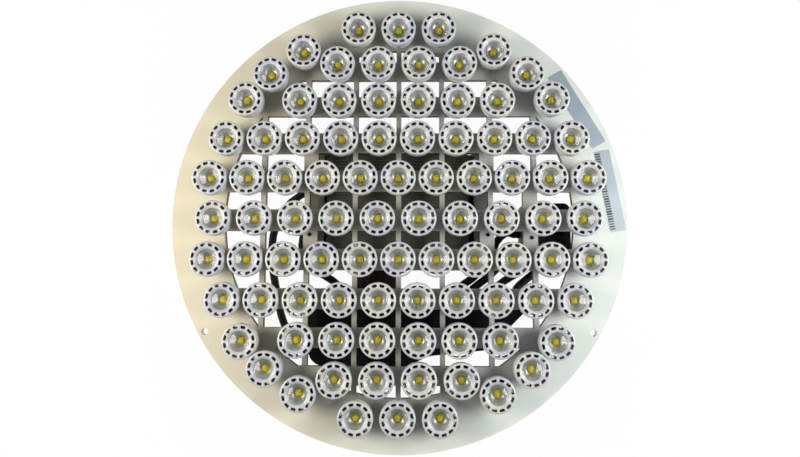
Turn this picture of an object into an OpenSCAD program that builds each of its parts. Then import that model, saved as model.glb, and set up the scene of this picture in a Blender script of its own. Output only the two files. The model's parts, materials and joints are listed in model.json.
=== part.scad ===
// Round lamp array panel: ninety small reflector lamps, each with a square emitter behind
// a clear lens, stand on a slotted round board. A finned driver case in a sheet cradle, a
// junction box and a supply case sit behind the board and are joined by heavy leads.
// The panel lies on its back: +Z is the side that shines, +Y is its upper edge.

/* [Board] */
// Diameter of the round board
board_d = 662; // [640:1:720]
// Thickness of the board
board_t = 12; // [9:0.5:15]
// Diameter of the circle that bounds the slots
slot_field_d = 508; // [490:1:514]
// Height of one slot, between two rows of lamps
slot_h = 26; // [18:0.5:26]
// Width of the bars that divide the slots
bar_w = 7.3; // [5:0.1:10]
// Width of the pads that take the screws of the parts behind
pad_w = 21; // [18:0.5:24]
// Diameter of the two fixing holes
fixing_d = 10; // [6:0.5:12]
// Distance from a fixing hole's middle to the edge of the board
fixing_edge = 9.5; // [8:0.5:12]

/* [Stickers] */
// Length of the upper sticker
label_upper_l = 124; // [110:1:130]
// Length of the lower sticker
label_lower_l = 120; // [110:1:130]
// Width of both stickers
label_w = 23; // [20:0.5:25]

/* [Lamp] */
// Diameter of a lamp head
lamp_d = 50; // [48:0.5:51]
// Height of a lamp's face over the board
lamp_h = 44; // [40:0.5:54]
// Height of the straight side of a lamp head
head_h = 15; // [12:0.5:18]
// Diameter of the clear lens
lens_d = 28.5; // [26:0.5:29]
// Number of vents round a lens
vent_count = 12; // [10:1:14]
// Share of the circle that the vents take
vent_share = 0.65; // [0.5:0.05:0.7]
// Width of one vent, from the lens to the rim
vent_w = 4; // [3:0.1:4.2]
// Width of the lip outside the vents
lip_w = 2.8; // [2.4:0.1:3.5]
// Side of the square emitter
emitter_w = 8.6; // [7:0.1:9.5]
// Diameter of a lamp's pin base
base_d = 18; // [14:0.5:20]
// Diameter of a lampholder behind the board
holder_d = 25; // [23:0.5:26]
// Height of a lampholder
holder_h = 17; // [12:0.5:18]

/* [Driver] */
// Width of the driver case
case_w = 214; // [190:1:216]
// Length of the driver case
case_l = 175; // [160:1:180]
// Depth of the driver case, fins included
case_t = 50; // [40:0.5:50]
// Height of a cooling fin
fin_h = 5; // [3:0.5:7]
// Distance from one fin to the next
fin_pitch = 5; // [4:0.5:8]
// Thickness of a cooling fin
fin_t = 1.8; // [1.2:0.1:2.4]
// Sheet thickness of the cradle that holds the driver case
cradle_t = 2; // [1.5:0.1:2.5]
// Length of the cradle
cradle_l = 147; // [130:1:150]
// Distance between the two screws on one side of the cradle
cradle_span = 99; // [96:1:101]
// Width of the terminal cover at the foot of the driver case
cover_w = 64; // [56:1:70]
// Length of the terminal cover
cover_l = 62; // [54:1:64]

/* [Back] */
// Space between the board and the surface that the panel lies on
back_depth = 75; // [73:1:90]
// Width of the junction box
box_w = 72; // [66:1:74]
// Length of the junction box
box_l = 74; // [70:1:80]
// Depth of the junction box, lid included
box_t = 42; // [36:1:48]
// Width of the supply case
supply_w = 324; // [318:1:330]
// Length of the supply case
supply_l = 91; // [84:1:96]
// Depth of the supply case, lid included
supply_t = 54; // [48:1:54]
// Diameter of a lead
lead_d = 12; // [9:0.5:12.5]

/* [Hidden] */
// Lamps of the middle row and of each row above and below it: count, pitch and distance
row_lamps = [10, 11, 10, 6, 4, 3];
row_pitch = [58, 53.5, 54.5, 56.5, 58.5, 58];
row_y = [0, 57.5, 114, 169, 223, 274.5];
// Single lamps near the rim, as a radius and angles from the upright line
rim_r = 277.5;
rim_angles = [29.5, 41.5, 52];
// Groups of lamps from the top of the panel to its foot
GROUPS = ["rim_upper", "row_1", "row_2", "row_3", "row_4", "row_5", "row_6", "row_7", "row_8",
  "row_9", "rim_lower"];
ZONES = ["upper", "middle", "lower"];
zone_groups = [[0, 3], [4, 6], [7, 10]];

fit = 0.3;
step = 1;
$fn = 48;
tiny_fn = 24;

// Levels over the surface that the panel lies on
board_back = back_depth;
board_front = board_back + board_t;
face_z = board_front + lamp_h;
holder_z = board_back - holder_h;

// Lamp: radii outwards from the axis and depths below the face
lamp_r = lamp_d / 2;
vent_out_r = lamp_r - lip_w;
vent_in_r = vent_out_r - vent_w;
bezel_r = vent_in_r - 0.7;
lens_r = lens_d / 2;
seat_r = lens_r + fit / 2;
cup_r = lens_r - 1.2;
lens_top_dip = 3;
lens_rim_t = 2;
cup_depth = 16;
plate_t = 1.6;
emitter_t = 1;
skirt_t = 1.2;
lens_rise = 1.8;
rim_round = 1.6;
neck_r = 12;
neck_h = 8;
neck_flare = 2;
skirt_drop = 2;
vent_angle = 360 / vent_count;
pin_gap = 5.3;
pin_d = 2;
pin_l = 6;
base_l = board_t + 4;

// Stickers: angle round the board, distance from its edge and turn away from the tangent
label_t = 0.4;
label_round = 2;
label_lengths = [label_upper_l, label_lower_l];
label_spots = [[32.1, 21.6, -1.6], [8.05, 20.4, 2.15]];

// Screws, and the spacers and towers that they go through
screw_d = 4;
screw_head_d = 5.5;
screw_head_t = 1.6;
spacer_d = 12;
tower_d = 10;

// Driver case, its cradle with one wing on each side, and the terminal cover
case_x = -3;
case_y = 41;
case_round = 5;
case_front = cradle_t + case_t;
fin_side = 4;
fin_end = 5;
cradle_y = 28.5;
cradle_in = case_w / 2 + 6;
cradle_out = cradle_in + cradle_t;
cradle_screw_x = cradle_out + 14.5;
wing_w = 20;
wing_z = case_front - 1;
wing_front = wing_z + cradle_t;
cover_x = -32;
cover_round = 6;
groove_w = 4;
groove_pitch = 10;
groove_t = 2;
groove_end = 8;

// Junction box, just behind the lampholders
box_x = 220;
box_y = -9;
box_round = 10;
box_lid_t = 3;
box_front = board_back - holder_h - 2;
box_foot = box_front - box_t;
box_screws = [[box_x - 27, box_y - 16], [box_x + 12, box_y + 9]];
lid_screw_in = 8;

// Supply case: its upper left corner, its screws, and the steps of its lower side
supply_x0 = -134;
supply_y = -122;
supply_lid_t = 4;
supply_screw_x = 105;
supply_screw_y = -row_y[3];
supply_flat_l = 146;
supply_ramp_l = 32;
supply_ramp_rise = 15;
supply_nose_l = 60;
supply_nose_rise = 24;
supply_nose_w = 8;
supply_rounds = [14, 24, 30, 40, 24, 4, 3];

// Board: bars, slots, the pads beside the bars and the two fixing holes
bar_x = [-198, -134, -63.5, 0, 63.5, 134, 198];
slot_y = [for (i = [0:4]) (row_y[i] + row_y[i + 1]) / 2];
pad_x = cradle_screw_x - 1;
box_pad_x = box_x - 28.5;
fixing_angle = 120;

// Cable glands and the leads between them
gland_d = 16;
gland_l = 12;
gland_gap = 1;
case_gland_y = [52, -5];
box_side_glands = [7, 27];
box_end_glands = [26, 8];
supply_side_gland = 56;
supply_glands_x = [-90, 88, 112, 146, 178];
lead_z = 27;
lead_out = 10;
left_outer_via = [[-154, 42, 27], [-180, 18, 27], [-194, -20, 27], [-195, -60, 27],
  [-188, -100, 27], [-180, -138, 27], [-170, -162, 27]];
left_inner_via = [[-148, -22, 27], [-147, -48, 27], [-130, -70, 27], [-102, -88, 27]];
right_via = [
  [[148, -30, 27], [138, -56, 27], [112, -84, 27]],
  [[156, -60, 27], [136, -82, 27]],
  [[184, -74, 27], [160, -88, 27]],
  [[203, -78, 27], [188, -90, 27]]];

// Places of the lamps in one row; side is 1 above the middle row and -1 below it
function row(i, side) = [for (k = [0:row_lamps[i] - 1])
  [(k - (row_lamps[i] - 1) / 2) * row_pitch[i], side * row_y[i]]];
function rim(side) = concat(row(5, side),
  [for (a = rim_angles) for (s = [-1, 1]) [s * rim_r * sin(a), side * rim_r * cos(a)]]);
function group(i) = i == 0 ? rim(1) : i == 10 ? rim(-1) : row(abs(5 - i), i > 5 ? -1 : 1);
function zone(i) = [for (g = [zone_groups[i][0]:zone_groups[i][1]]) each group(g)];
function all_lamps() = [for (g = [0:10]) each group(g)];

// Outline with each corner rounded; radii holds one radius for each corner
function unit(v) = v / norm(v);
function corner(p, a, b, r, n) =
  let (u = unit(a - p), v = unit(b - p), half = acos(u * v) / 2, m = unit(u + v),
    c = p + m * (r / sin(half)), t0 = p + u * (r / tan(half)), t1 = p + v * (r / tan(half)),
    a0 = atan2(t0[1] - c[1], t0[0] - c[0]), a1 = atan2(t1[1] - c[1], t1[0] - c[0]),
    d = a1 - a0 > 180 ? a1 - a0 - 360 : a1 - a0 < -180 ? a1 - a0 + 360 : a1 - a0)
  [for (k = [0:n]) c + r * [cos(a0 + d * k / n), sin(a0 + d * k / n)]];
function rounded(points, radii, n = 6) = [for (i = [0:len(points) - 1])
  each corner(points[i], points[(i + len(points) - 1) % len(points)],
    points[(i + 1) % len(points)], radii[i], n)];
function box_points(w, l) = [[-w / 2, -l / 2], [w / 2, -l / 2], [w / 2, l / 2], [-w / 2, l / 2]];
function rounded_box(w, l, r) = rounded(box_points(w, l), [r, r, r, r]);

// Smooth curve through chosen points, and the tube that follows it
function blend(p, t) = 0.5 * ((2 * p[1]) + (p[2] - p[0]) * t
  + (2 * p[0] - 5 * p[1] + 4 * p[2] - p[3]) * t * t
  + (3 * p[1] - p[0] - 3 * p[2] + p[3]) * t * t * t);
function curve(p, n) =
  let (q = concat([2 * p[0] - p[1]], p, [2 * p[len(p) - 1] - p[len(p) - 2]]))
  concat([for (i = [0:len(p) - 2]) for (k = [0:n - 1])
    blend([q[i], q[i + 1], q[i + 2], q[i + 3]], k / n)], [p[len(p) - 1]]);
module tube(points, d, sides = 10, n = 2) {
  path = curve(points, n);
  last = len(path) - 1;
  rings = [for (i = [0:last])
    let (t = i == 0 ? unit(points[1] - points[0])
        : i == last ? unit(points[len(points) - 1] - points[len(points) - 2])
        : unit(path[i + 1] - path[i - 1]),
      s = unit(cross(t, [0, 0, 1])), u = cross(s, t))
    for (k = [0:sides - 1]) path[i] + d / 2 * (s * cos(360 * k / sides) + u * sin(360 * k / sides))];
  skin = [for (i = [0:last - 1]) for (k = [0:sides - 1])
    let (a = i * sides + k, b = i * sides + (k + 1) % sides) [a, b, b + sides, a + sides]];
  polyhedron(rings, concat(skin, [[for (k = [sides - 1:-1:0]) k]],
    [[for (k = [0:sides - 1]) last * sides + k]]));
}

// Board with its slots, bars, pads and holes
module slots() {
  intersection() {
    circle(d = slot_field_d, $fn = 180);
    for (side = [-1, 1], y = slot_y)
      translate([0, side * y])
        square([slot_field_d, slot_h], center = true);
  }
}
module bars() {
  for (x = bar_x)
    translate([x, 0])
      square([bar_w, slot_field_d], center = true);
  for (side = [-1, 1]) {
    translate([side * pad_x, slot_y[1]])
      square([pad_w, slot_h + step], center = true);
    translate([side * pad_x, -slot_y[0]])
      square([pad_w, slot_h + step], center = true);
    translate([box_pad_x, side * slot_y[0]])
      square([pad_w, slot_h + step], center = true);
  }
}
module fixing_holes() {
  for (side = [-1, 1])
    rotate(90 + side * fixing_angle)
      translate([board_d / 2 - fixing_edge, 0, -step])
        cylinder(d = fixing_d, h = board_t + 2 * step);
}
function cradle_screws() = [for (s = [-1, 1]) for (k = [-1, 1])
  [s * cradle_screw_x, cradle_y + k * cradle_span / 2]];
function supply_screws() = [for (s = [-1, 1]) [s * supply_screw_x, supply_screw_y]];
function board_holes() = concat(cradle_screws(), box_screws, supply_screws());
module board() {
  color("antiquewhite")
    translate([0, 0, board_back])
      difference() {
        linear_extrude(board_t)
          difference() {
            circle(d = board_d, $fn = 180);
            difference() {
              slots();
              bars();
            }
            for (p = all_lamps())
              translate(p)
                circle(d = base_d + 2 * fit);
            for (p = board_holes())
              translate(p)
                circle(d = screw_d + fit, $fn = tiny_fn);
          }
        fixing_holes();
      }
}

// Two plain stickers on the right-hand rim
module labels() {
  color("lightsteelblue")
    for (i = [0, 1])
      rotate(label_spots[i][0])
        translate([board_d / 2 - label_spots[i][1], 0, board_front])
          rotate(label_spots[i][2] - 90)
            linear_extrude(label_t)
              polygon(rounded_box(label_lengths[i], label_w, label_round));
}

// One lamp body: neck, core with fins, vented head and the cup for the lens
module lamp_body() {
  seat = lamp_h - lens_top_dip - lens_rim_t;
  difference() {
    rotate_extrude()
      polygon(concat(
        [[0, 0], [neck_r, 0], [neck_r, neck_h], [neck_r + neck_flare, neck_h + neck_flare],
          [lamp_r, lamp_h - head_h]],
        [for (a = [0:30:90])
          [lamp_r - rim_round * (1 - cos(a)), lamp_h - rim_round * (1 - sin(a))]],
        [[bezel_r, lamp_h], [seat_r, lamp_h - lens_top_dip], [seat_r, seat], [cup_r, seat],
          [cup_r, lamp_h - cup_depth], [0, lamp_h - cup_depth]]));
    for (k = [0:vent_count - 1])
      rotate(vent_angle * (k + 0.5 - vent_share / 2))
        rotate_extrude(angle = vent_angle * vent_share)
          polygon([[vent_in_r, lamp_h + step], [vent_out_r, lamp_h + step],
            [lamp_r - skirt_t, lamp_h - head_h - skirt_drop],
            [lamp_r + step, lamp_h - head_h - skirt_drop],
            [lamp_r + step, neck_h + neck_flare + step], [neck_r + step, neck_h + neck_flare + step]]);
  }
}
module lens() {
  top = lamp_h - lens_top_dip;
  foot = lamp_h - cup_depth + plate_t + emitter_t + fit;
  rotate_extrude()
    polygon(concat(
      [[0, foot], [emitter_w / 2 + 2, foot], [cup_r - fit, top - lens_rim_t - 1],
        [cup_r - fit, top - lens_rim_t], [lens_r, top - lens_rim_t], [lens_r, top]],
      [for (k = [1:6]) [lens_r * cos(15 * k), top + lens_rise * sin(15 * k)]]));
}
module emitter() {
  translate([0, 0, lamp_h - cup_depth + plate_t + emitter_t / 2])
    cube([emitter_w, emitter_w, emitter_t], center = true);
}
module emitter_plate() {
  translate([0, 0, lamp_h - cup_depth])
    cylinder(r = cup_r - fit, h = plate_t);
}
module pins(d, l) {
  for (s = [-1, 1])
    translate([s * pin_gap / 2, 0, -l])
      cylinder(d = d, h = l, $fn = 16);
}
module pin_base() {
  translate([0, 0, -base_l])
    cylinder(d = base_d, h = base_l);
  translate([0, 0, -base_l])
    pins(pin_d, pin_l);
}
module lampholder() {
  difference() {
    translate([0, 0, -board_t - holder_h])
      cylinder(d = holder_d, h = holder_h);
    translate([0, 0, -base_l - fit])
      cylinder(d = base_d + 2 * fit, h = base_l);
    translate([0, 0, -base_l])
      pins(pin_d + 2 * fit, pin_l + step);
  }
}
module at_lamps(points) {
  for (p = points)
    translate([p[0], p[1], board_front])
      children();
}

// Finned driver case with a terminal cover at its foot, in its cradle
module driver_case() {
  fins = floor((case_l - 2 * fin_end) / fin_pitch);
  color("dimgray")
    translate([case_x, case_y, cradle_t]) {
      linear_extrude(case_t - fin_h)
        polygon(rounded_box(case_w, case_l, case_round));
      for (k = [0:fins])
        translate([fin_side - case_w / 2, (k - fins / 2) * fin_pitch - fin_t / 2, case_t - fin_h])
          cube([case_w - 2 * fin_side, fin_t, fin_h]);
    }
}
module terminal_cover() {
  cover_t = case_t - fin_h;
  color("maroon")
    translate([cover_x, case_y - case_l / 2 - cover_l / 2, cradle_t])
      difference() {
        linear_extrude(cover_t)
          polygon(rounded(box_points(cover_w, cover_l), [cover_round, cover_round, 0.1, 0.1]));
        for (k = [-2:2])
          translate([k * groove_pitch - groove_w / 2, groove_end - cover_l / 2, cover_t - groove_t])
            cube([groove_w, cover_l - 2 * groove_end, groove_t + step]);
      }
}
module cradle_profile() {
  tip = cradle_out + wing_w;
  polygon([[-cradle_out, 0], [cradle_out, 0], [cradle_out, wing_z], [tip, wing_z],
    [tip, wing_front], [cradle_in, wing_front], [cradle_in, cradle_t], [-cradle_in, cradle_t],
    [-cradle_in, wing_front], [-tip, wing_front], [-tip, wing_z], [-cradle_out, wing_z]]);
}
module driver_cradle() {
  color("silver")
    difference() {
      translate([0, cradle_y + cradle_l / 2, 0])
        rotate([90, 0, 0])
          linear_extrude(cradle_l)
            cradle_profile();
      for (p = cradle_screws())
        translate([p[0], p[1], 0])
          cylinder(d = screw_d + fit, h = board_back, $fn = tiny_fn);
      for (y = case_gland_y)
        translate([-cradle_out - step, y, lead_z])
          rotate([0, 90, 0])
            cylinder(d = gland_d + 2 * gland_gap, h = cradle_t + 2 * step);
    }
}

// Junction box with two screw towers, and its lid on the side away from the board
module junction_box() {
  color("black") {
    translate([box_x, box_y, box_foot + box_lid_t])
      linear_extrude(box_t - box_lid_t)
        polygon(rounded_box(box_w, box_l, box_round));
    for (p = box_screws)
      translate([p[0], p[1], box_front - step])
        cylinder(d = tower_d, h = board_back - box_front + step, $fn = tiny_fn);
  }
}
module junction_lid() {
  color("black")
    translate([box_x, box_y, box_foot])
      linear_extrude(box_lid_t)
        polygon(rounded_box(box_w, box_l, box_round));
}

// Supply case: a bevelled right-hand end and a lower side that rises towards it
function supply_outline() =
  let (x1 = supply_x0 + supply_w, y1 = supply_y - supply_l, xr = supply_x0 + supply_flat_l)
  rounded([[supply_x0, supply_y], [supply_x0, y1], [xr, y1],
    [xr + supply_ramp_l, y1 + supply_ramp_rise], [x1 - supply_nose_l, y1 + supply_nose_rise],
    [x1, supply_y - supply_nose_w], [x1, supply_y]], supply_rounds);
module supply_case() {
  color("black")
    translate([0, 0, supply_lid_t])
      linear_extrude(supply_t - supply_lid_t)
        polygon(supply_outline());
}
module supply_lid() {
  color("black")
    linear_extrude(supply_lid_t)
      polygon(supply_outline());
}

module spacers() {
  color("silver") {
    for (p = cradle_screws())
      translate([p[0], p[1], wing_front])
        cylinder(d = spacer_d, h = board_back - wing_front, $fn = tiny_fn);
    for (p = supply_screws())
      translate([p[0], p[1], supply_t])
        cylinder(d = spacer_d, h = board_back - supply_t, $fn = tiny_fn);
  }
}
module board_screws() {
  color("black")
    for (p = board_holes())
      translate([p[0], p[1], board_back]) {
        cylinder(d = screw_d, h = board_t, $fn = tiny_fn);
        translate([0, 0, board_t])
          cylinder(d = screw_head_d, h = screw_head_t, $fn = tiny_fn);
      }
}
module lid_screws() {
  color("dimgray")
    for (s = [-1, 1], t = [-1, 1])
      translate([box_x + s * (box_w / 2 - lid_screw_in), box_y + t * (box_l / 2 - lid_screw_in),
        box_foot - screw_head_t])
        cylinder(d = screw_head_d, h = screw_head_t, $fn = tiny_fn);
}

// Cable glands: the face that each one is screwed into, and the way that it points
function end_gland(x, y, way) = [[x, y, lead_z], way];
case_glands = [for (y = case_gland_y) end_gland(case_x - case_w / 2, y, 180)];
box_glands = [for (y = box_side_glands) end_gland(box_x - box_w / 2, box_y - y, 180),
  for (x = box_end_glands) end_gland(box_x - x, box_y - box_l / 2, -90)];
supply_glands = [end_gland(supply_x0, supply_y - supply_side_gland, 180),
  for (x = supply_glands_x) end_gland(x, supply_y, 90)];
function way(g) = [cos(g[1]), sin(g[1]), 0];
function ahead(g, d) = g[0] + (gland_l + d) * way(g);
module gland() {
  rotate([0, 90, 0]) {
    cylinder(d = gland_d, h = gland_l / 2, $fn = 6);
    translate([0, 0, gland_l / 2])
      cylinder(d = gland_d - 2, h = gland_l / 2);
  }
}
module cable_glands() {
  color("black")
    for (g = concat(case_glands, box_glands, supply_glands))
      translate(g[0])
        rotate(g[1])
          gland();
}

// Leads, each from one gland to another
module lead(from, via, to) {
  color("black")
    tube(concat([ahead(from, 0), ahead(from, lead_out)], via, [ahead(to, lead_out), ahead(to, 0)]),
      lead_d);
}
module lead_left_outer() {
  lead(case_glands[0], left_outer_via, supply_glands[0]);
}
module lead_left_inner() {
  lead(case_glands[1], left_inner_via, supply_glands[1]);
}
module leads_right_upper() {
  lead(box_glands[0], right_via[0], supply_glands[2]);
  lead(box_glands[1], right_via[1], supply_glands[3]);
}
module leads_right_lower() {
  lead(box_glands[2], right_via[2], supply_glands[4]);
  lead(box_glands[3], right_via[3], supply_glands[5]);
}

board();
labels();
for (i = [0:10]) {
  color("whitesmoke") at_lamps(group(i)) lamp_body();
  color("lightcyan", 0.4) at_lamps(group(i)) lens();
  color("gold") at_lamps(group(i)) emitter();
}
for (i = [0:2]) {
  color("lightgray") at_lamps(zone(i)) emitter_plate();
  color("ivory") at_lamps(zone(i)) pin_base();
  color("white") at_lamps(zone(i)) lampholder();
}
driver_case();
driver_cradle();
terminal_cover();
junction_box();
junction_lid();
supply_case();
supply_lid();
spacers();
board_screws();
lid_screws();
cable_glands();
lead_left_outer();
lead_left_inner();
leads_right_upper();
leads_right_lower();
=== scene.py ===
"""Round LED lamp array panel: lamp details, finishes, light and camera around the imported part."""
import json
import math

import bmesh
import bpy
from mathutils import Matrix, Vector


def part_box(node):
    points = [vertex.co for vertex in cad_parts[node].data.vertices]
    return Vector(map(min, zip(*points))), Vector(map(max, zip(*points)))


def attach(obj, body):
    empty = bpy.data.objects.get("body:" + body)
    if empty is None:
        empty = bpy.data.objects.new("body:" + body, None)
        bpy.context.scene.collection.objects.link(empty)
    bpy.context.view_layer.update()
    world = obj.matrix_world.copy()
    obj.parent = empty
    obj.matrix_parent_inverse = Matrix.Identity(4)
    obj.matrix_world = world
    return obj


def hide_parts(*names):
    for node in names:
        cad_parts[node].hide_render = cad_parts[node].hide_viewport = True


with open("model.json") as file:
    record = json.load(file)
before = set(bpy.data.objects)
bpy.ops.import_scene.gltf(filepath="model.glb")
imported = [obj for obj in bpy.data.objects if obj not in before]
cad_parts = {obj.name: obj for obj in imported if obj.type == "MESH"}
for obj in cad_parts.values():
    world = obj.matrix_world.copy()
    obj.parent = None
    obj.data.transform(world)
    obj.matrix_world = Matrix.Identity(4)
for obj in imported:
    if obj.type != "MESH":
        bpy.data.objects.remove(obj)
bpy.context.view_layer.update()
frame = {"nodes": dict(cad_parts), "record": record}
MM = 0.001
SLOT_WALL_REACH = 0.3   # metres from the middle: every slot wall is nearer, the board's own edge is further out
ZONES = {
    "upper": ["rim_upper", "row_1", "row_2", "row_3"],
    "middle": ["row_4", "row_5", "row_6"],
    "lower": ["row_7", "row_8", "row_9", "rim_lower"],
}
VENTS = 12
row_low, row_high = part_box("lamp_bodies_row_5")
FACE_Z = row_high.z   # height of the lamp faces


# ---------------------------------------------------------------- small helpers

def link(tree, source, target):
    tree.links.new(source, target)


def node(tree, kind, **values):
    """One node of a tree, with its properties and its unlinked inputs set by name."""
    made = tree.nodes.new(kind)
    inputs = values.pop("inputs", {})
    for name, value in values.items():
        setattr(made, name, value)
    for name, value in inputs.items():
        made.inputs[name].default_value = value
    return made


def new_group(name, inputs, outputs):
    """An empty shader node group with its sockets; returns the tree, its input and its output node."""
    tree = bpy.data.node_groups.new(name, "ShaderNodeTree")
    for label, kind, value in inputs:
        socket = tree.interface.new_socket(label, in_out="INPUT", socket_type=kind)
        if value is not None:
            socket.default_value = value
    for label, kind in outputs:
        tree.interface.new_socket(label, in_out="OUTPUT", socket_type=kind)
    return tree, tree.nodes.new("NodeGroupInput"), tree.nodes.new("NodeGroupOutput")


def place_group(tree, group, **inputs):
    made = tree.nodes.new("ShaderNodeGroup")
    made.node_tree = group
    for name, value in inputs.items():
        made.inputs[name.replace("_", " ")].default_value = value
    return made


def rgb(red, green, blue):
    """A colour given as it shows on a screen, 0 to 255, as the linear value that a shader takes."""
    def linear(c):
        c /= 255
        return c / 12.92 if c <= 0.04045 else ((c + 0.055) / 1.055) ** 2.4
    return (linear(red), linear(green), linear(blue), 1.0)


# ---------------------------------------------------------------- shared surface effects

def tone_drift_group():
    """Slow change of a finish between two tones over a piece."""
    tree, enter, leave = new_group(
        "tone_drift",
        [("Tone A", "NodeSocketColor", (0.8, 0.8, 0.8, 1)), ("Tone B", "NodeSocketColor", (0.7, 0.7, 0.7, 1)),
         ("Scale", "NodeSocketFloat", 8.0), ("Softness", "NodeSocketFloat", 0.25)],
        [("Color", "NodeSocketColor"), ("Mask", "NodeSocketFloat")])
    place = node(tree, "ShaderNodeTexCoord")
    cloud = node(tree, "ShaderNodeTexNoise", inputs={"Detail": 3.0, "Roughness": 0.55})
    low = node(tree, "ShaderNodeMath", operation="SUBTRACT", inputs={0: 0.5})
    high = node(tree, "ShaderNodeMath", operation="ADD", inputs={0: 0.5})
    spread = node(tree, "ShaderNodeMapRange")
    mix = node(tree, "ShaderNodeMix", data_type="RGBA")
    link(tree, place.outputs["Object"], cloud.inputs["Vector"])
    link(tree, enter.outputs["Scale"], cloud.inputs["Scale"])
    link(tree, enter.outputs["Softness"], low.inputs[1])
    link(tree, enter.outputs["Softness"], high.inputs[1])
    link(tree, cloud.outputs["Fac"], spread.inputs["Value"])
    link(tree, low.outputs[0], spread.inputs["From Min"])
    link(tree, high.outputs[0], spread.inputs["From Max"])
    link(tree, spread.outputs["Result"], mix.inputs["Factor"])
    link(tree, enter.outputs["Tone A"], mix.inputs["A"])
    link(tree, enter.outputs["Tone B"], mix.inputs["B"])
    link(tree, mix.outputs["Result"], leave.inputs["Color"])
    link(tree, spread.outputs["Result"], leave.inputs["Mask"])
    return tree


def fine_grain_group():
    """Grain of a lacquer, casting or moulding, as a normal and a small change of gloss."""
    tree, enter, leave = new_group(
        "fine_grain",
        [("Scale", "NodeSocketFloat", 900.0), ("Depth", "NodeSocketFloat", 0.2), ("Gloss", "NodeSocketFloat", 0.4),
         ("Gloss range", "NodeSocketFloat", 0.08)],
        [("Normal", "NodeSocketVector"), ("Roughness", "NodeSocketFloat")])
    place = node(tree, "ShaderNodeTexCoord")
    grain = node(tree, "ShaderNodeTexNoise", inputs={"Detail": 4.0, "Roughness": 0.6})
    bump = node(tree, "ShaderNodeBump", inputs={"Distance": 0.0003})
    centre = node(tree, "ShaderNodeMath", operation="SUBTRACT", inputs={1: 0.5})
    spread = node(tree, "ShaderNodeMath", operation="MULTIPLY")
    total = node(tree, "ShaderNodeMath", operation="ADD")
    link(tree, place.outputs["Object"], grain.inputs["Vector"])
    link(tree, enter.outputs["Scale"], grain.inputs["Scale"])
    link(tree, grain.outputs["Fac"], bump.inputs["Height"])
    link(tree, enter.outputs["Depth"], bump.inputs["Strength"])
    link(tree, grain.outputs["Fac"], centre.inputs[0])
    link(tree, centre.outputs[0], spread.inputs[0])
    link(tree, enter.outputs["Gloss range"], spread.inputs[1])
    link(tree, spread.outputs[0], total.inputs[0])
    link(tree, enter.outputs["Gloss"], total.inputs[1])
    link(tree, bump.outputs["Normal"], leave.inputs["Normal"])
    link(tree, total.outputs[0], leave.inputs["Roughness"])
    return tree


DRIFT = tone_drift_group()
GRAIN = fine_grain_group()


def start_material(name):
    material = bpy.data.materials.new(name)
    material.use_nodes = True
    tree = material.node_tree
    shader = tree.nodes["Principled BSDF"]
    return material, tree, shader


def finish_material(name, tone_a, tone_b, drift=8.0, softness=0.25, grain=900.0, depth=0.2, gloss=0.4,
                    gloss_range=0.08, **sockets):
    """A finish that drifts between two tones and has a fine grain; other values go to the shader's own sockets."""
    material, tree, shader = start_material(name)
    tone = place_group(tree, DRIFT, Tone_A=tone_a, Tone_B=tone_b, Scale=drift, Softness=softness)
    fine = place_group(tree, GRAIN, Scale=grain, Depth=depth, Gloss=gloss, Gloss_range=gloss_range)
    link(tree, tone.outputs["Color"], shader.inputs["Base Color"])
    link(tree, fine.outputs["Normal"], shader.inputs["Normal"])
    link(tree, fine.outputs["Roughness"], shader.inputs["Roughness"])
    for socket, value in sockets.items():
        shader.inputs[socket.replace("_", " ")].default_value = value
    return material


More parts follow.
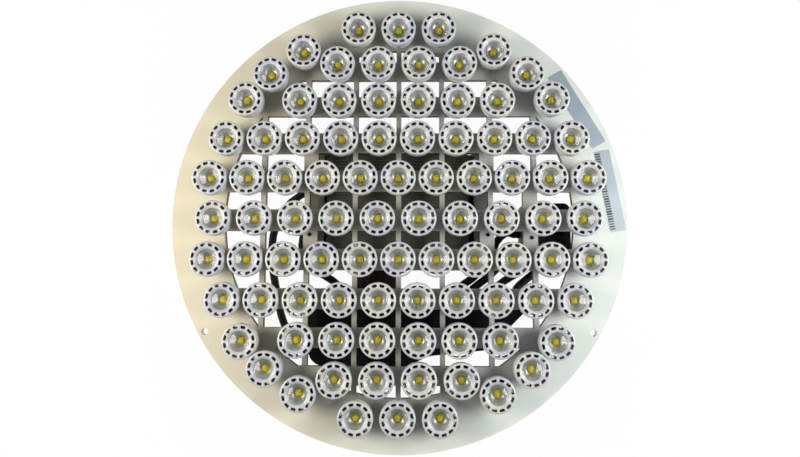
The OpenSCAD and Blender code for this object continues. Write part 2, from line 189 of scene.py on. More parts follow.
def painted_board_material():
    """Matt off-white paint, with painted warm light that makes it warmer towards the left, and raw brown walls where
    the slots were cut.
    """
    material, tree, shader = start_material("painted_board")
    place = node(tree, "ShaderNodeTexCoord")
    split = node(tree, "ShaderNodeSeparateXYZ")
    # painted warm light: the colour runs from cream on the left to greenish white on the right, as warm light falls
    # from the left
    across = node(tree, "ShaderNodeMapRange", inputs={"From Min": -0.33, "From Max": 0.12})
    paint = node(tree, "ShaderNodeMix", data_type="RGBA",
                 inputs={"A": rgb(232, 221, 190), "B": rgb(232, 237, 229)})
    drift = place_group(tree, DRIFT, Tone_A=(1, 1, 1, 1), Tone_B=(0.93, 0.93, 0.91, 1), Scale=9.0, Softness=0.3)
    tint = node(tree, "ShaderNodeMix", data_type="RGBA", blend_type="MULTIPLY", inputs={"Factor": 1.0})
    walls = place_group(tree, DRIFT, Tone_A=rgb(150, 104, 78), Tone_B=rgb(112, 76, 58), Scale=60.0, Softness=0.2)
    upright = node(tree, "ShaderNodeSeparateXYZ")
    steep = node(tree, "ShaderNodeMath", operation="ABSOLUTE")
    wall = node(tree, "ShaderNodeMath", operation="LESS_THAN", inputs={1: 0.5})   # over 60 degrees from flat
    flat = node(tree, "ShaderNodeVectorMath", operation="MULTIPLY", inputs={1: (1, 1, 0)})
    reach = node(tree, "ShaderNodeVectorMath", operation="LENGTH")
    inner = node(tree, "ShaderNodeMath", operation="LESS_THAN", inputs={1: SLOT_WALL_REACH})
    cut = node(tree, "ShaderNodeMath", operation="MULTIPLY")
    colour = node(tree, "ShaderNodeMix", data_type="RGBA")
    fine = place_group(tree, GRAIN, Scale=700.0, Depth=0.12, Gloss=0.52, Gloss_range=0.1)
    link(tree, place.outputs["Object"], split.inputs[0])
    link(tree, split.outputs["X"], across.inputs["Value"])
    link(tree, across.outputs["Result"], paint.inputs["Factor"])
    link(tree, paint.outputs["Result"], tint.inputs["A"])
    link(tree, drift.outputs["Color"], tint.inputs["B"])
    link(tree, place.outputs["Normal"], upright.inputs[0])
    link(tree, upright.outputs["Z"], steep.inputs[0])
    link(tree, steep.outputs[0], wall.inputs[0])
    link(tree, place.outputs["Object"], flat.inputs[0])
    link(tree, flat.outputs["Vector"], reach.inputs[0])
    link(tree, reach.outputs["Value"], inner.inputs[0])
    link(tree, wall.outputs[0], cut.inputs[0])
    link(tree, inner.outputs[0], cut.inputs[1])
    link(tree, cut.outputs[0], colour.inputs["Factor"])
    link(tree, tint.outputs["Result"], colour.inputs["A"])
    link(tree, walls.outputs["Color"], colour.inputs["B"])
    link(tree, colour.outputs["Result"], shader.inputs["Base Color"])
    link(tree, fine.outputs["Normal"], shader.inputs["Normal"])
    link(tree, fine.outputs["Roughness"], shader.inputs["Roughness"])
    return material


def clear_lens_material():
    """Clear moulded lens; shadow rays pass it, so the cup below is lit."""
    material, tree, shader = start_material("clear_lens")
    shader.inputs["Base Color"].default_value = (0.97, 0.98, 0.98, 1)
    shader.inputs["Transmission Weight"].default_value = 1.0
    shader.inputs["Roughness"].default_value = 0.09
    shader.inputs["IOR"].default_value = 1.49
    path = node(tree, "ShaderNodeLightPath")
    through = node(tree, "ShaderNodeBsdfTransparent", inputs={"Color": (0.94, 0.95, 0.95, 1)})
    pick = node(tree, "ShaderNodeMixShader")
    link(tree, path.outputs["Is Shadow Ray"], pick.inputs["Fac"])
    link(tree, shader.outputs["BSDF"], pick.inputs[1])
    link(tree, through.outputs["BSDF"], pick.inputs[2])
    link(tree, pick.outputs["Shader"], tree.nodes["Material Output"].inputs["Surface"])
    return material


def emitter_material():
    """Yellow phosphor under a clear silicone skin."""
    material, tree, shader = start_material("emitter_yellow")
    tone = place_group(tree, DRIFT, Tone_A=rgb(180, 165, 0), Tone_B=rgb(156, 141, 2), Scale=30.0, Softness=0.2)
    fine = place_group(tree, GRAIN, Scale=2200.0, Depth=0.15, Gloss=0.3, Gloss_range=0.1)
    link(tree, tone.outputs["Color"], shader.inputs["Base Color"])
    link(tree, fine.outputs["Normal"], shader.inputs["Normal"])
    link(tree, fine.outputs["Roughness"], shader.inputs["Roughness"])
    shader.inputs["Specular IOR Level"].default_value = 0.25
    shader.inputs["Coat Weight"].default_value = 0.12
    shader.inputs["Coat Roughness"].default_value = 0.12
    return material


def sticker_material():
    """Printed film that has greyed more on the upper sticker."""
    material, tree, shader = start_material("sticker")
    place = node(tree, "ShaderNodeTexCoord")
    split = node(tree, "ShaderNodeSeparateXYZ")
    along = node(tree, "ShaderNodeMapRange", inputs={"From Min": 0.02, "From Max": 0.15})
    base = node(tree, "ShaderNodeMix", data_type="RGBA", inputs={"A": rgb(196, 206, 211), "B": rgb(162, 175, 184)})
    wear = place_group(tree, DRIFT, Tone_A=(1, 1, 1, 1), Tone_B=(0.94, 0.94, 0.95, 1), Scale=40.0, Softness=0.25)
    tint = node(tree, "ShaderNodeMix", data_type="RGBA", blend_type="MULTIPLY", inputs={"Factor": 1.0})
    fine = place_group(tree, GRAIN, Scale=900.0, Depth=0.03, Gloss=0.38, Gloss_range=0.08)
    link(tree, place.outputs["Object"], split.inputs[0])
    link(tree, split.outputs["Y"], along.inputs["Value"])
    link(tree, along.outputs["Result"], base.inputs["Factor"])
    link(tree, base.outputs["Result"], tint.inputs["A"])
    link(tree, wear.outputs["Color"], tint.inputs["B"])
    link(tree, tint.outputs["Result"], shader.inputs["Base Color"])
    link(tree, fine.outputs["Normal"], shader.inputs["Normal"])
    link(tree, fine.outputs["Roughness"], shader.inputs["Roughness"])
    return material


def reflector_material():
    """Satin reflector with painted shade: brown-grey shade deep round the emitter, brighter towards the lens."""
    material, tree, shader = start_material("bright_plate")
    place = node(tree, "ShaderNodeTexCoord")
    split = node(tree, "ShaderNodeSeparateXYZ")
    # painted shade: the ramp darkens the cup towards its deep floor round the emitter, and a little at its top edge
    # under the lens
    height = node(tree, "ShaderNodeMapRange",
                  inputs={"From Min": FACE_Z - 14.5 * MM, "From Max": FACE_Z - 5.3 * MM})
    ramp = node(tree, "ShaderNodeValToRGB")
    ramp.color_ramp.elements[0].color = rgb(104, 94, 74)
    ramp.color_ramp.elements[1].color = rgb(156, 158, 158)
    for place_on_ramp, colour in ((0.06, rgb(150, 143, 128)), (0.25, rgb(164, 165, 164)), (0.7, rgb(178, 180, 180))):
        ramp.color_ramp.elements.new(place_on_ramp).color = colour
    fine = place_group(tree, GRAIN, Scale=900.0, Depth=0.05, Gloss=0.32, Gloss_range=0.1)
    link(tree, place.outputs["Object"], split.inputs[0])
    link(tree, split.outputs["Z"], height.inputs["Value"])
    link(tree, height.outputs["Result"], ramp.inputs["Fac"])
    link(tree, ramp.outputs["Color"], shader.inputs["Base Color"])
    link(tree, fine.outputs["Normal"], shader.inputs["Normal"])
    link(tree, fine.outputs["Roughness"], shader.inputs["Roughness"])
    shader.inputs["Metallic"].default_value = 0.6
    return material


MATERIALS = {
    "painted_board": painted_board_material(),
    "sticker": sticker_material(),
    "sticker_ink": finish_material("sticker_ink", rgb(66, 72, 78), rgb(84, 90, 96), drift=80.0, depth=0.03, gloss=0.4),
    "lamp_white": finish_material("lamp_white", rgb(208, 207, 200), rgb(194, 195, 202), drift=17.0, softness=0.12,
                                  grain=1200.0, depth=0.05, gloss=0.3, gloss_range=0.06, Coat_Weight=0.25,
                                  Coat_Roughness=0.12),
    "lamp_core": finish_material("lamp_core", rgb(40, 42, 50), rgb(54, 56, 62), drift=40.0, grain=500.0, gloss=0.45),
    "clear_lens": clear_lens_material(),
    "emitter_yellow": emitter_material(),
    "bright_plate": reflector_material(),
    "ceramic_white": finish_material("ceramic_white", rgb(226, 222, 212), rgb(208, 203, 192), drift=30.0, depth=0.1,
                                     gloss=0.38),
    "anodised_grey": finish_material("anodised_grey", rgb(146, 141, 130), rgb(122, 119, 110), drift=14.0, grain=600.0,
                                     gloss=0.42, Metallic=0.4),
    "zinc_sheet": finish_material("zinc_sheet", rgb(172, 171, 160), rgb(146, 145, 134), drift=22.0, grain=400.0,
                                  gloss=0.42, Metallic=0.6),
    "brown_moulding": finish_material("brown_moulding", rgb(60, 26, 22), rgb(40, 18, 16), drift=60.0, gloss=0.5),
    "black_moulding": finish_material("black_moulding", rgb(15, 15, 19), rgb(9, 9, 12), drift=20.0, grain=1100.0,
                                      depth=0.3, gloss=0.55, Specular_IOR_Level=0.3),
    "black_screw": finish_material("black_screw", rgb(30, 30, 32), rgb(44, 44, 46), drift=150.0, gloss=0.35,
                                   Metallic=0.5),
    "lead_rubber": finish_material("lead_rubber", rgb(12, 12, 14), rgb(18, 18, 20), drift=25.0, grain=800.0,
                                   depth=0.25, gloss=0.5),
}


def dress_cad_nodes():
    """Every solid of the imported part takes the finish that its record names."""
    slots = {entry["node"]: entry["material_slot"] for entry in frame["record"]["subparts"]}
    for name, obj in frame["nodes"].items():
        for place in obj.material_slots:
            place.material = MATERIALS[slots[name]]


# ---------------------------------------------------------------- meshes

WELD = 0.01 * MM   # points nearer than this are one point


def mesh_object(name, points, faces, smooth_angle=None):
    mesh = bpy.data.meshes.new(name)
    mesh.from_pydata([tuple(p) for p in points], [], faces)
    mesh.validate()
    work = bmesh.new()
    work.from_mesh(mesh)
    bmesh.ops.remove_doubles(work, verts=work.verts, dist=WELD)
    bmesh.ops.recalc_face_normals(work, faces=work.faces)
    work.to_mesh(mesh)
    work.free()
    if smooth_angle is not None:
        mesh.shade_smooth()
        mesh.set_sharp_from_angle(angle=math.radians(smooth_angle))
    obj = bpy.data.objects.new(name, mesh)
    bpy.context.scene.collection.objects.link(obj)
    return obj


def revolved(name, profile, steps, smooth_angle=35):
    """A closed turned shape from (radius, height) points in millimetres."""
    points, faces, rings = [], [], []
    for radius, height in profile:
        if radius < 1e-6:
            rings.append([len(points)] * steps)
            points.append((0, 0, height * MM))
        else:
            rings.append(list(range(len(points), len(points) + steps)))
            points += [(radius * MM * math.cos(2 * math.pi * k / steps),
                        radius * MM * math.sin(2 * math.pi * k / steps), height * MM) for k in range(steps)]
    for low, high in zip(rings, rings[1:] + rings[:1]):
        for k in range(steps):
            corner = [low[k], low[(k + 1) % steps], high[(k + 1) % steps], high[k]]
            face = list(dict.fromkeys(corner))
            if len(face) > 2:
                faces.append(face)
    return mesh_object(name, points, faces, smooth_angle)


def remove(*objs):
    for obj in objs:
        bpy.data.objects.remove(obj)


# ---------------------------------------------------------------- repeated pieces by Geometry Nodes

def repeat_tree(name, ring_count):
    """Instances a shape round an axis, if ring_count is set, then at every point of the host mesh."""
    tree = bpy.data.node_groups.new(name, "GeometryNodeTree")
    face = tree.interface
    face.new_socket("Points", in_out="INPUT", socket_type="NodeSocketGeometry")
    face.new_socket("Shape", in_out="INPUT", socket_type="NodeSocketObject")
    face.new_socket("Finish", in_out="INPUT", socket_type="NodeSocketMaterial")
    count = face.new_socket("Count round axis", in_out="INPUT", socket_type="NodeSocketInt")
    count.default_value = max(1, ring_count)
    spread = face.new_socket("Turn spread", in_out="INPUT", socket_type="NodeSocketFloat")
    spread.default_value = 0.0
    seed = face.new_socket("Seed", in_out="INPUT", socket_type="NodeSocketInt")
    seed.default_value = 7
    face.new_socket("Pieces", in_out="OUTPUT", socket_type="NodeSocketGeometry")
    enter, leave = tree.nodes.new("NodeGroupInput"), tree.nodes.new("NodeGroupOutput")
    shape = node(tree, "GeometryNodeObjectInfo", transform_space="ORIGINAL")
    link(tree, enter.outputs["Shape"], shape.inputs["Object"])
    one = shape.outputs["Geometry"]
    if ring_count:
        line = node(tree, "GeometryNodeMeshLine", mode="OFFSET", inputs={"Offset": (0, 0, 0)})
        index = node(tree, "GeometryNodeInputIndex")
        part = node(tree, "ShaderNodeMath", operation="DIVIDE")
        angle = node(tree, "ShaderNodeMath", operation="MULTIPLY", inputs={1: 2 * math.pi})
        turn = node(tree, "ShaderNodeCombineXYZ")
        ring = node(tree, "GeometryNodeInstanceOnPoints")
        link(tree, enter.outputs["Count round axis"], line.inputs["Count"])
        link(tree, index.outputs[0], part.inputs[0])
        link(tree, enter.outputs["Count round axis"], part.inputs[1])
        link(tree, part.outputs[0], angle.inputs[0])
        link(tree, angle.outputs[0], turn.inputs["Z"])
        link(tree, line.outputs["Mesh"], ring.inputs["Points"])
        link(tree, one, ring.inputs["Instance"])
        link(tree, turn.outputs[0], ring.inputs["Rotation"])
        solid = node(tree, "GeometryNodeRealizeInstances")
        weld = node(tree, "GeometryNodeMergeByDistance", inputs={"Distance": 2 * WELD})
        link(tree, ring.outputs["Instances"], solid.inputs["Geometry"])
        link(tree, solid.outputs["Geometry"], weld.inputs["Geometry"])
        one = weld.outputs["Geometry"]
    chance = node(tree, "FunctionNodeRandomValue", data_type="FLOAT")
    low = node(tree, "ShaderNodeMath", operation="MULTIPLY", inputs={1: -1.0})
    tilt = node(tree, "ShaderNodeCombineXYZ")
    spots = node(tree, "GeometryNodeInstanceOnPoints")
    solid = node(tree, "GeometryNodeRealizeInstances")
    paint = node(tree, "GeometryNodeSetMaterial")
    link(tree, enter.outputs["Turn spread"], low.inputs[0])
    link(tree, low.outputs[0], chance.inputs[2])
    link(tree, enter.outputs["Turn spread"], chance.inputs[3])
    link(tree, enter.outputs["Seed"], chance.inputs["Seed"])
    link(tree, chance.outputs[1], tilt.inputs["Z"])
    link(tree, enter.outputs["Points"], spots.inputs["Points"])
    link(tree, one, spots.inputs["Instance"])
    link(tree, tilt.outputs[0], spots.inputs["Rotation"])
    link(tree, spots.outputs["Instances"], solid.inputs["Geometry"])
    link(tree, solid.outputs["Geometry"], paint.inputs["Geometry"])
    link(tree, enter.outputs["Finish"], paint.inputs["Material"])
    link(tree, paint.outputs["Geometry"], leave.inputs["Pieces"])
    return tree


RING_TREE = repeat_tree("vented_ring_at_points", VENTS)
SPOT_TREE = repeat_tree("shape_at_points", 0)


def repeated(name, tree, shape, places, finish, turn_spread=0.0):
    """The shape at every place, as one plain mesh object with its place in its mesh."""
    host_mesh = bpy.data.meshes.new(name + "_points")
    host_mesh.from_pydata([tuple(p) for p in places], [], [])
    host = bpy.data.objects.new(name + "_points", host_mesh)
    bpy.context.scene.collection.objects.link(host)
    return grown(name, host, tree, {"Shape": shape, "Finish": MATERIALS[finish], "Turn spread": turn_spread})


def grown(name, host, tree, values):
    """What a Geometry Nodes tree makes on the host, as one plain mesh object; the host goes."""
    modifier = host.modifiers.new("repeat", "NODES")
    modifier.node_group = tree
    for item in tree.interface.items_tree:
        if item.in_out == "INPUT" and item.name in values:
            modifier[item.identifier] = values[item.name]
    bpy.context.view_layer.update()
    graph = bpy.context.evaluated_depsgraph_get()
    mesh = bpy.data.meshes.new_from_object(host.evaluated_get(graph))
    mesh.name = name
    remove(host)
    obj = bpy.data.objects.new(name, mesh)
    bpy.context.scene.collection.objects.link(obj)
    return obj


def take_aboard(obj, replaces=()):
    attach(obj, "root")
    if replaces:
        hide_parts(*replaces)


# ---------------------------------------------------------------- lamps

def lamp_places(group):
    """The axis of each lamp of a group at the height of the lamp faces, from the emitters' solids."""
    near = 20 * MM
    seen = []
    for vertex in frame["nodes"]["emitters_" + group].data.vertices:
        for found in seen:
            if (found[0] - vertex.co).to_2d().length < near:
                found.append(vertex.co.copy())
                break
        else:
            seen.append([vertex.co.copy()])
    centres = []
    for found in seen:
        low = Vector([min(p[i] for p in found) for i in range(3)])
        high = Vector([max(p[i] for p in found) for i in range(3)])
        centres.append(Vector(((low.x + high.x) / 2, (low.y + high.y) / 2, FACE_Z)))
    return centres


# Sizes of a lamp in millimetres. In all profiles below, a height is counted from the lamp's face and so is negative.
LAMP_R = round((row_high.y - row_low.y) / 2 / MM, 1)
LAMP_H = round((FACE_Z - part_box("board")[1].z) / MM, 1)   # down to the board
HEAD_H, SKIRT_H = 15.0, 23.0       # straight part of the head, and its lower edge
FACE_T = 2.2
BEZEL_R, SEAT_R = 17.5, 14.4       # bevel round the lens, and the seat that the lens lies in
VENT_IN_R, VENT_OUT_R = 18.2, 22.2
VENT_HALF = math.radians(9.75)
VENT_CORNER = 1.15
LENS_R, LENS_EDGE_R = 14.1, 14.35  # dome, and the rim round it
DOME_ANGLE, DOME_RISE = 34, 3.2    # half the angle that the dome spans, in degrees, and its height over the rim
EMITTER_HALF = 4.3


def polar(angle, radius, height):
    """A point in metres at an angle from the middle of the first vent."""
    angle += math.pi / VENTS
    return Vector((radius * math.sin(angle), radius * math.cos(angle), height)) * MM


def lamp_head_sector():
    """One twelfth of the white head: face plate with one rounded vent, skirt and bevel round the lens."""
    half = math.pi / VENTS
    edge_r = LAMP_R - 2.5   # here the flat face ends and the rounded rim begins

    def vent_loop(grow, height):
        """The vent's rounded outline, grown by a little."""
        loop = []
        r_low, r_high, c = VENT_IN_R - grow, VENT_OUT_R + grow, VENT_CORNER + grow
        for side, r_mid, r_way in ((1, r_high, 1), (1, r_low, -1), (-1, r_low, -1), (-1, r_high, 1)):
            centre_r = r_mid - r_way * c
            centre_a = side * (VENT_HALF + grow / r_mid - c / r_mid)
            turns = (90, 45, 0) if r_way * side > 0 else (0, 45, 90)
            for turn in turns:
                t = math.radians(turn)
                loop.append(polar(centre_a + side * c * math.cos(t) / r_mid, centre_r + r_way * c * math.sin(t),
                                  height))
        return loop

    def outer_loop(height, r_in, r_out):
        """The sector's own outline, with as many points as the vent's, so that faces join the two."""
        loop = []
        for side, r_mid, r_way, edge in ((1, VENT_OUT_R, 1, r_out), (1, VENT_IN_R, -1, r_in),
                                         (-1, VENT_IN_R, -1, r_in), (-1, VENT_OUT_R, 1, r_out)):
            near_r = r_mid - r_way * VENT_CORNER
            near_a = side * (VENT_HALF - VENT_CORNER / r_mid)
            trio = [polar(side * half, near_r, height), polar(side * half, edge, height), polar(near_a, edge, height)]
            loop += trio[::-1] if r_way * side > 0 else trio
        return loop

    loops = [outer_loop(0, BEZEL_R, edge_r), vent_loop(0.25, 0), vent_loop(0, -0.3), vent_loop(0, -FACE_T),
             outer_loop(-FACE_T, BEZEL_R, LAMP_R - 1.2)]
    points = [p for loop in loops for p in loop]
    size = len(loops[0])
    faces = []
    for a in range(len(loops) - 1):
        for k in range(size):
            n = (k + 1) % size
            faces.append((a * size + k, a * size + n, (a + 1) * size + n, (a + 1) * size + k))
    angles = [-half, -(VENT_HALF - VENT_CORNER / VENT_OUT_R), VENT_HALF - VENT_CORNER / VENT_OUT_R, half]
    rim = [(edge_r, 0), (LAMP_R - 1.5, -0.3), (LAMP_R - 0.6, -1.1), (LAMP_R - 0.1, -2.5), (LAMP_R, -HEAD_H),
           (LAMP_R - 1.4, -SKIRT_H), (LAMP_R - 2.4, -SKIRT_H), (LAMP_R - 1.2, -HEAD_H), (LAMP_R - 1.2, -FACE_T)]
    inner_angles = [-half, -(VENT_HALF - VENT_CORNER / VENT_IN_R), VENT_HALF - VENT_CORNER / VENT_IN_R, half]
    bevel = [(BEZEL_R, 0), (BEZEL_R - 0.3, -0.12), (SEAT_R + 0.2, -2.7), (SEAT_R, -3.0), (SEAT_R, -5.0),
             (BEZEL_R, -5.0), (BEZEL_R, -FACE_T)]
    for line, at in ((rim, angles), (bevel, inner_angles)):
        start = len(points)
        points += [polar(a, r, h) for r, h in line for a in at]
        for i in range(len(line) - 1):
            for k in range(len(at) - 1):
                c = start + i * len(at) + k
                faces.append((c, c + 1, c + 1 + len(at), c + len(at)))
    return mesh_object("head_sector", points, faces, 40)


def cooling_fin():
    """One of the dark fins between the core and the head."""
    outline = [(12.9, -33.5), (14.2, -33.8), (23.9, -16.9), (23.9, -FACE_T + 0.1), (17.3, -FACE_T + 0.1), (17.3, -5.0)]
    half_t = 1.3
    points = [Vector((x, r, h)) * MM for x in (-half_t, half_t) for r, h in outline]
    n = len(outline)
    faces = [tuple(range(n)), tuple(range(2 * n - 1, n - 1, -1))]
    faces += [(k, (k + 1) % n, n + (k + 1) % n, n + k) for k in range(n)]
    return mesh_object("fin", points, faces, 30)


def lamp_core():
    """Turned core with the neck below and the cup above."""
    return revolved("core", [(0, -LAMP_H), (11.6, -LAMP_H), (12, -43.6), (12, -36), (14, -34), (20.4, -27.5),
                             (20.4, -26.5), (17.0, -24.5), (17.4, -5.0), (14.3, -5.0), (14.3, -16), (0, -16)], 32)


def reflector_cup():
    """Thin bright cup from the emitter up to the lens."""
    inner = [(4.8, -13.95), (6.1, -13.4), (7.4, -12.7), (8.7, -11.5), (9.9, -9.9), (11.1, -8.1), (12.0, -6.6),
             (12.6, -5.5)]
    outer = [(r + 0.2, h - 0.25) for r, h in inner]
    return revolved("cup", inner + [(14.25, -5.25), (14.25, -5.6)] + outer[::-1], 32, 60)


def lens_shape():
    """Plano-convex lens with a flat rim."""
    edge_sin, edge_cos = math.sin(math.radians(DOME_ANGLE)), math.cos(math.radians(DOME_ANGLE))
    dome = [(LENS_R * math.sin(t) / edge_sin, -DOME_RISE + DOME_RISE * (math.cos(t) - edge_cos) / (1 - edge_cos))
            for t in (math.radians(a) for a in range(0, DOME_ANGLE, 5))]
    rim = [(LENS_R, -DOME_RISE), (LENS_EDGE_R, -DOME_RISE - 0.2), (LENS_EDGE_R, -5.1), (0, -5.1)]
    return revolved("lens", dome + rim, 36, 30)


def emitter_shape():
    """Square phosphor pad with rounded corners that swells to a low dome."""
    points, faces, rings = [], [], []
    steps = 24
    for share, height in ((1.0, -14.35), (1.0, -13.7), (0.95, -13.2), (0.82, -12.5), (0.6, -11.9), (0.33, -11.5)):
        ring = []
        for k in range(steps):
            t = 2 * math.pi * (k + 0.5) / steps
            power = 0.68 + 0.32 * (1 - share)   # squarish at the foot, nearly round at the top
            c, s = math.cos(t), math.sin(t)
            x = math.copysign(abs(c) ** power, c)
            y = math.copysign(abs(s) ** power, s)
            ring.append(len(points))
            points.append(Vector((EMITTER_HALF * share * x, EMITTER_HALF * share * y, height)) * MM)
        rings.append(ring)
    for low, high in zip(rings, rings[1:]):
        faces += [(low[k], low[(k + 1) % steps], high[(k + 1) % steps], high[k]) for k in range(steps)]
    faces.append(tuple(reversed(rings[0])))
    top = len(points)
    points.append(Vector((0, 0, -11.4)) * MM)
    faces += [(rings[-1][k], rings[-1][(k + 1) % steps], top) for k in range(steps)]
    return mesh_object("emitter", points, faces, 50)


def build_lamps():
    """Every lamp's pieces, each kind as one object in each zone of the board."""
    kinds = [   # name, tree, shape, finish, CAD pieces that it replaces, turn spread
        ("lamp_heads_", RING_TREE, lamp_head_sector(), "lamp_white", "lamp_bodies_", 0.0),
        ("lamp_fins_", RING_TREE, cooling_fin(), "lamp_core", None, 0.0),
        ("lamp_cores_", SPOT_TREE, lamp_core(), "lamp_core", None, 0.0),
        ("reflector_cups_", SPOT_TREE, reflector_cup(), "bright_plate", None, 0.0),
        ("lamp_lenses_", SPOT_TREE, lens_shape(), "clear_lens", "lenses_", 0.0),
        ("lamp_emitters_", SPOT_TREE, emitter_shape(), "emitter_yellow", "emitters_", 0.12),
    ]
    for zone, groups in ZONES.items():
        places = [p for group in groups for p in lamp_places(group)]
        for name, tree, shape, finish, replaced, turn_spread in kinds:
            pieces = repeated(name + zone, tree, shape, places, finish, turn_spread)
            take_aboard(pieces, [replaced + group for group in groups] if replaced else ())
    remove(*(shape for _, _, shape, _, _, _ in kinds))


# ---------------------------------------------------------------- stickers and hardware

def extruded(name, outline, low_y, high_y, smooth_angle=35):
    """An outline of (x, z) points in metres, drawn out along Y."""
    n = len(outline)
    points = [Vector((x, y, z)) for y in (low_y, high_y) for x, z in outline]
    faces = [(k, (k + 1) % n, n + (k + 1) % n, n + k) for k in range(n)]
    faces += [tuple(range(n)), tuple(range(2 * n - 1, n - 1, -1))]
    return mesh_object(name, points, faces, smooth_angle)


def strip_tree():
    """A line of bars, each scaled across to a random share of the shape's thickness."""
    tree = bpy.data.node_groups.new("bar_strip", "GeometryNodeTree")
    face = tree.interface
    for label, kind, value in (("Shape", "NodeSocketObject", None), ("Finish", "NodeSocketMaterial", None),
                               ("Count", "NodeSocketInt", 30), ("Pitch", "NodeSocketFloat", 0.0036),
                               ("Thinnest", "NodeSocketFloat", 0.45), ("Thickest", "NodeSocketFloat", 0.85),
                               ("Seed", "NodeSocketInt", 3)):
        socket = face.new_socket(label, in_out="INPUT", socket_type=kind)
        if value is not None:
            socket.default_value = value
    face.new_socket("Strip", in_out="OUTPUT", socket_type="NodeSocketGeometry")
    enter, leave = tree.nodes.new("NodeGroupInput"), tree.nodes.new("NodeGroupOutput")
    shape = node(tree, "GeometryNodeObjectInfo", transform_space="ORIGINAL")
    step = node(tree, "ShaderNodeCombineXYZ")
    line = node(tree, "GeometryNodeMeshLine", mode="OFFSET")
    chance = node(tree, "FunctionNodeRandomValue", data_type="FLOAT")
    size = node(tree, "ShaderNodeCombineXYZ", inputs={"Y": 1.0, "Z": 1.0})
    bars = node(tree, "GeometryNodeInstanceOnPoints")
    solid = node(tree, "GeometryNodeRealizeInstances")
    paint = node(tree, "GeometryNodeSetMaterial")
    link(tree, enter.outputs["Shape"], shape.inputs["Object"])
    link(tree, enter.outputs["Pitch"], step.inputs["X"])
    link(tree, enter.outputs["Count"], line.inputs["Count"])
    link(tree, step.outputs[0], line.inputs["Offset"])
    link(tree, enter.outputs["Thinnest"], chance.inputs[2])
    link(tree, enter.outputs["Thickest"], chance.inputs[3])
    link(tree, enter.outputs["Seed"], chance.inputs["Seed"])
    link(tree, chance.outputs[1], size.inputs["X"])
    link(tree, line.outputs["Mesh"], bars.inputs["Points"])
    link(tree, shape.outputs["Geometry"], bars.inputs["Instance"])
    link(tree, size.outputs[0], bars.inputs["Scale"])
    link(tree, bars.outputs["Instances"], solid.inputs["Geometry"])
    link(tree, solid.outputs["Geometry"], paint.inputs["Geometry"])
    link(tree, enter.outputs["Finish"], paint.inputs["Material"])
    link(tree, paint.outputs["Geometry"], leave.inputs["Strip"])
    return tree


def build_bar_strip():
    """Dark bars along the inner edge of the lower sticker."""
    round_board, tilt = math.radians(8.05), math.radians(2.15)   # where the sticker's middle is, and its own turn
    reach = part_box("board")[1].x - 20.4 * MM
    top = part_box("labels")[1].z
    count, pitch, inward = 31, 3.7 * MM, 7.3 * MM
    half_w, half_l, ink_t = 1.8 * MM, 3.8 * MM, 0.05 * MM
    bar = mesh_object("bar", [(x * half_w, y * half_l, z * ink_t) for z in (0, 1) for y in (-1, 1) for x in (-1, 1)],
                      [(0, 1, 3, 2), (4, 5, 7, 6), (0, 1, 5, 4), (2, 3, 7, 6), (0, 2, 6, 4), (1, 3, 7, 5)])
    host = mesh_object("bar_points", [(0, 0, 0)], [])
    strip = grown("sticker_bars", host, strip_tree(),
                  {"Shape": bar, "Finish": MATERIALS["sticker_ink"], "Count": count, "Pitch": pitch})
    middle = Matrix.Translation((reach * math.cos(round_board), reach * math.sin(round_board), top))
    turn = Matrix.Rotation(round_board + tilt - math.pi / 2, 4, "Z")
    strip.data.transform(middle @ turn @ Matrix.Translation((-(count - 1) * pitch / 2, -inward, 0)))
    remove(bar)
    take_aboard(strip)


def build_cradle():
    """Sheet cradle of the driver case with rounded bends, at both ends a little longer than the solid it replaces."""
    low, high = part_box("driver_cradle")
    sheet, wing, bend, extra = 2 * MM, 20 * MM, 3 * MM, 8 * MM
    tip = high.x
    wall, top, foot = tip - wing, high.z, low.z
    turns = [math.radians(a) for a in (0, 30, 60, 90)]
    outer = [(tip, top), (tip, top - sheet)]
    outer += [(wall + bend * (1 - math.sin(t)), top - sheet - bend * (1 - math.cos(t))) for t in turns]
    outer += [(wall - bend * (1 - math.cos(t)), foot + bend * (1 - math.sin(t))) for t in turns]
    inner = [(wall - sheet - bend * (1 - math.cos(t)), foot + sheet + bend * (1 - math.sin(t))) for t in turns[::-1]]
    inner += [(wall - sheet, top - 1 * MM), (wall - sheet + 1 * MM, top)]
    outline = outer + [(-x, z) for x, z in reversed(outer)]
    outline += [(-x, z) for x, z in reversed(inner)] + inner
    cradle = extruded("cradle_sheet", outline, low.y - extra, high.y + extra)
    cradle.data.materials.append(MATERIALS["zinc_sheet"])
    take_aboard(cradle, ["driver_cradle"])


# ---------------------------------------------------------------- light, floor and camera

def softbox(name, place, power, tint):
    """A soft lamp beside the panel that points at its middle."""
    light = bpy.data.lights.new(name, "AREA")
    light.shape = "ELLIPSE"
    light.size, light.size_y = 0.7, 0.8
    light.energy = power
    light.color = tint
    obj = bpy.data.objects.new(name, light)
    obj.location = place
    obj.rotation_euler = (Vector((0, 0, 0.1)) - Vector(place)).to_track_quat("-Z", "Y").to_euler()
    bpy.context.scene.collection.objects.link(obj)


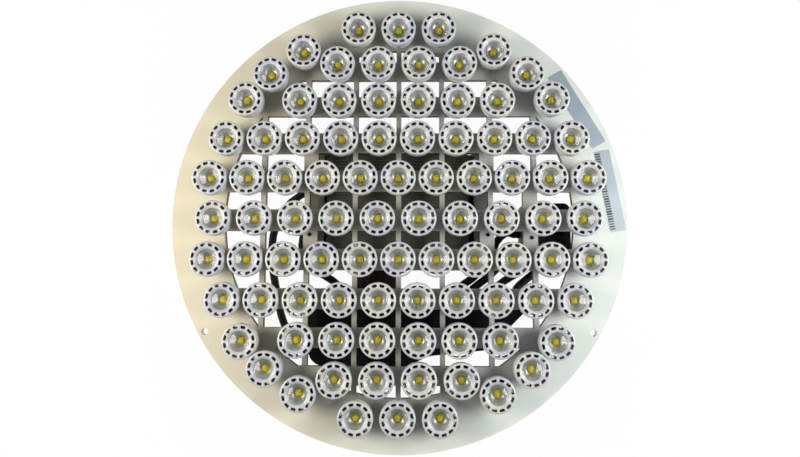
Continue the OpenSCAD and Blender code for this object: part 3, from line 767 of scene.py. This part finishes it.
def studio():
    """White floor that keeps a faint shadow, a dim room that shows white, and two softboxes at the sides."""
    floor_material = bpy.data.materials.new("studio_floor")
    floor_material.use_nodes = True
    tree = floor_material.node_tree
    tree.nodes.clear()
    path = node(tree, "ShaderNodeLightPath")
    seen = node(tree, "ShaderNodeMath", operation="MAXIMUM")
    seen_more = node(tree, "ShaderNodeMath", operation="MAXIMUM")
    share = node(tree, "ShaderNodeMath", operation="MULTIPLY", inputs={1: 0.96})
    matt = node(tree, "ShaderNodeBsdfDiffuse", inputs={"Color": (0.9, 0.9, 0.9, 1)})
    glow = node(tree, "ShaderNodeEmission", inputs={"Color": (1, 1, 1, 1), "Strength": 1.0})
    mix = node(tree, "ShaderNodeMixShader")
    out = node(tree, "ShaderNodeOutputMaterial")
    link(tree, path.outputs["Is Camera Ray"], seen.inputs[0])
    link(tree, path.outputs["Is Glossy Ray"], seen.inputs[1])
    link(tree, seen.outputs[0], seen_more.inputs[0])
    link(tree, path.outputs["Is Transmission Ray"], seen_more.inputs[1])
    link(tree, seen_more.outputs[0], share.inputs[0])
    link(tree, share.outputs[0], mix.inputs["Fac"])
    link(tree, matt.outputs["BSDF"], mix.inputs[1])
    link(tree, glow.outputs["Emission"], mix.inputs[2])
    link(tree, mix.outputs["Shader"], out.inputs["Surface"])
    reach, level = 6, -0.5 * MM   # just under the part's lowest face
    floor = mesh_object("floor", [(x, y, level) for x, y in ((-reach, -reach), (reach, -reach), (reach, reach),
                                                            (-reach, reach))], [(0, 1, 2, 3)])
    floor.data.materials.append(floor_material)

    world = bpy.data.worlds.new("studio_room")
    bpy.context.scene.world = world
    world.use_nodes = True
    tree = world.node_tree
    room = tree.nodes["Background"]
    room.inputs["Color"].default_value = (0.92, 0.96, 1.0, 1)
    room.inputs["Strength"].default_value = 0.16
    white = node(tree, "ShaderNodeBackground", inputs={"Color": (1, 1, 1, 1), "Strength": 1.0})
    path = node(tree, "ShaderNodeLightPath")
    mix = node(tree, "ShaderNodeMixShader")
    link(tree, path.outputs["Is Camera Ray"], mix.inputs["Fac"])
    link(tree, room.outputs["Background"], mix.inputs[1])
    link(tree, white.outputs["Background"], mix.inputs[2])
    link(tree, mix.outputs["Shader"], tree.nodes["World Output"].inputs["Surface"])
    softbox("softbox_left", (-0.95, -0.03, 0.75), 12.0, (1.0, 0.97, 0.92))
    softbox("softbox_right", (0.95, -0.03, 0.75), 12.2, (0.97, 0.99, 1.0))


def camera():
    """A camera about a metre above the lamps that looks almost straight down."""
    data = bpy.data.cameras.new("camera")
    data.sensor_width = 36
    data.lens = 32.33
    data.shift_y = -0.0444
    data.clip_start, data.clip_end = 0.05, 30
    obj = bpy.data.objects.new("camera", data)
    sideways, upwards, roll = 0.0161, 0.1096, 0.0026   # radians away from straight down
    turn = Matrix.Rotation(sideways, 4, "Y") @ Matrix.Rotation(upwards, 4, "X") @ Matrix.Rotation(roll, 4, "Z")
    obj.matrix_world = Matrix.Translation((0.0188, -0.0750, 1.131)) @ turn
    bpy.context.scene.collection.objects.link(obj)
    bpy.context.scene.camera = obj


camera()
studio()
dress_cad_nodes()
build_lamps()
build_cradle()
build_bar_strip()
bpy.context.scene.view_settings.view_transform = "Standard"
